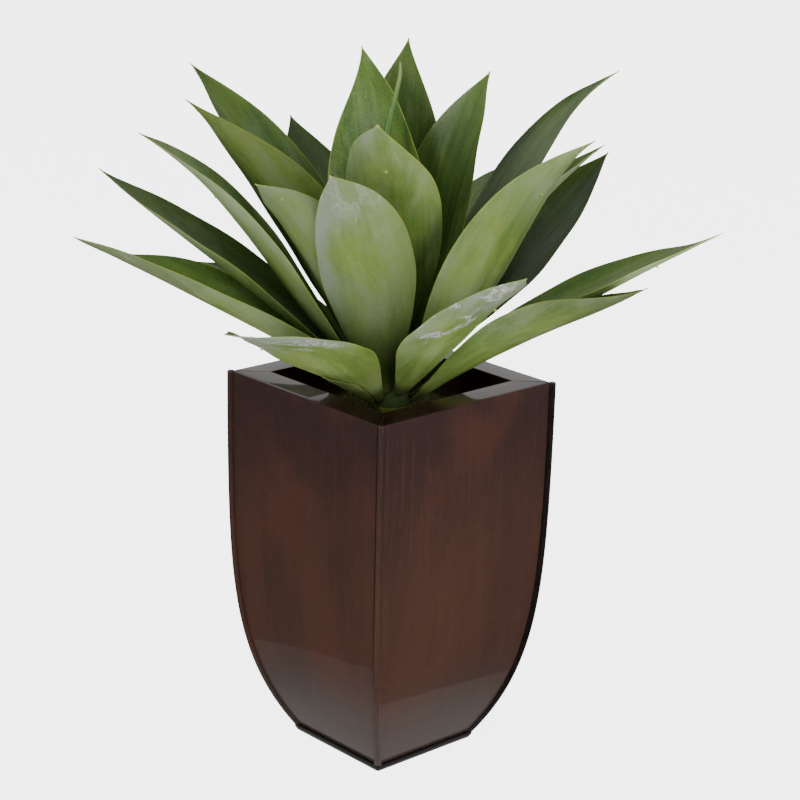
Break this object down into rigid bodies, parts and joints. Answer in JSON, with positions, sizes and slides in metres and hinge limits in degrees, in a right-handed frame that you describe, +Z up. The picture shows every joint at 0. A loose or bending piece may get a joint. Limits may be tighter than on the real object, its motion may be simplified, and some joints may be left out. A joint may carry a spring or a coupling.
{
  "type": "potted foxtail agave",
  "caption": "Rosette of broad pointed green agave leaves round a short stem, standing in moss over potting fill in a tall square planter of dark lacquered sheet metal drawn in to its foot.",
  "frame": {"origin": "middle of the underside of the planter's base plate, on the floor", "axes": "+Z up along the stem; the planter's sides run along X and Y, and the corner that faces the picture's camera points towards +X, -Y"},
  "size_m": [0.5787, 0.6173, 0.7542],
  "materials": {
    "lacquer": "gloss",
    "black_lacquer": "gloss",
    "soil": "rough",
    "moss": "rough",
    "stem": "satin",
    "leaf": "satin",
    "young_leaf": "satin"
  },
  "bodies": {
    "root": {"base_plate": "black_lacquer", "wall_front_left": "lacquer", "wall_front_right": "lacquer", "wall_back_right": "lacquer", "wall_back_left": "lacquer", "corner_bead_front": "lacquer", "corner_bead_right": "lacquer", "corner_bead_back": "lacquer", "corner_bead_left": "lacquer", "soil_fill": "soil", "moss_layer": "moss", "stem": "stem", "leaf_01": "leaf", "leaf_02": "leaf", "leaf_03": "leaf", "leaf_04": "leaf", "leaf_05": "leaf", "leaf_06": "leaf", "leaf_07": "leaf", "leaf_08": "leaf", "leaf_09": "leaf", "leaf_10": "leaf", "leaf_11": "leaf", "leaf_12": "leaf", "leaf_13": "leaf", "leaf_14": "leaf", "leaf_15": "leaf", "leaf_16": "leaf", "leaf_17": "leaf", "leaf_18": "leaf", "leaf_19": "leaf", "leaf_20": "leaf", "leaf_21": "leaf", "leaf_22": "leaf", "leaf_23": "leaf", "leaf_24": "leaf", "leaf_25": "leaf", "rolled_leaf": "young_leaf"}
  },
  "joints": []
}
